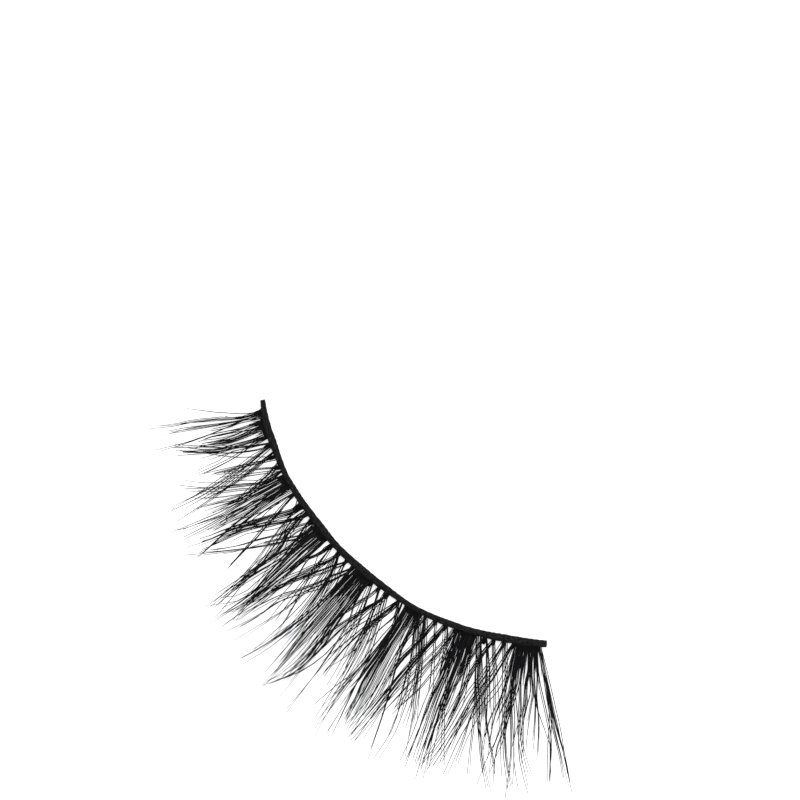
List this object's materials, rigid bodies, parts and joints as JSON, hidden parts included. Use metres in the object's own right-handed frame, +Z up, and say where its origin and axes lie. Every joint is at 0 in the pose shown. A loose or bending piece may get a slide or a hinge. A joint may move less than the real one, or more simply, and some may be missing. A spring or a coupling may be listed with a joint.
{
  "type": "false eyelash strip",
  "caption": "Curved strip of false lashes: a thin glue band with dense tufts and crossing wispy locks between them, longest towards the outer corner.",
  "frame": {"origin": "middle of the band's underside, on the surface that the strip rests on", "axes": "+X along the band to the outer corner of the eye, +Y to the eyelid side, away from the lash tips, +Z up, the way the lashes curl"},
  "size_m": [0.0453, 0.0176, 0.0046],
  "materials": {
    "band_cord": "black cotton cord with a thin coat of dried glue, satin",
    "lash_fibre": "black synthetic hair, satin"
  },
  "bodies": {
    "root": {"band": "band_cord", "tuft_1": "lash_fibre", "tuft_2": "lash_fibre", "tuft_3": "lash_fibre", "tuft_4": "lash_fibre", "tuft_5": "lash_fibre", "tuft_6": "lash_fibre", "tuft_7": "lash_fibre", "inward_locks_1": "lash_fibre", "inward_locks_2": "lash_fibre", "inward_locks_3": "lash_fibre", "inward_locks_4": "lash_fibre", "inward_locks_5": "lash_fibre", "inward_locks_6": "lash_fibre", "outward_locks_1": "lash_fibre", "outward_locks_2": "lash_fibre", "outward_locks_3": "lash_fibre", "outward_locks_4": "lash_fibre", "outward_locks_5": "lash_fibre", "outward_locks_6": "lash_fibre"}
  },
  "joints": []
}
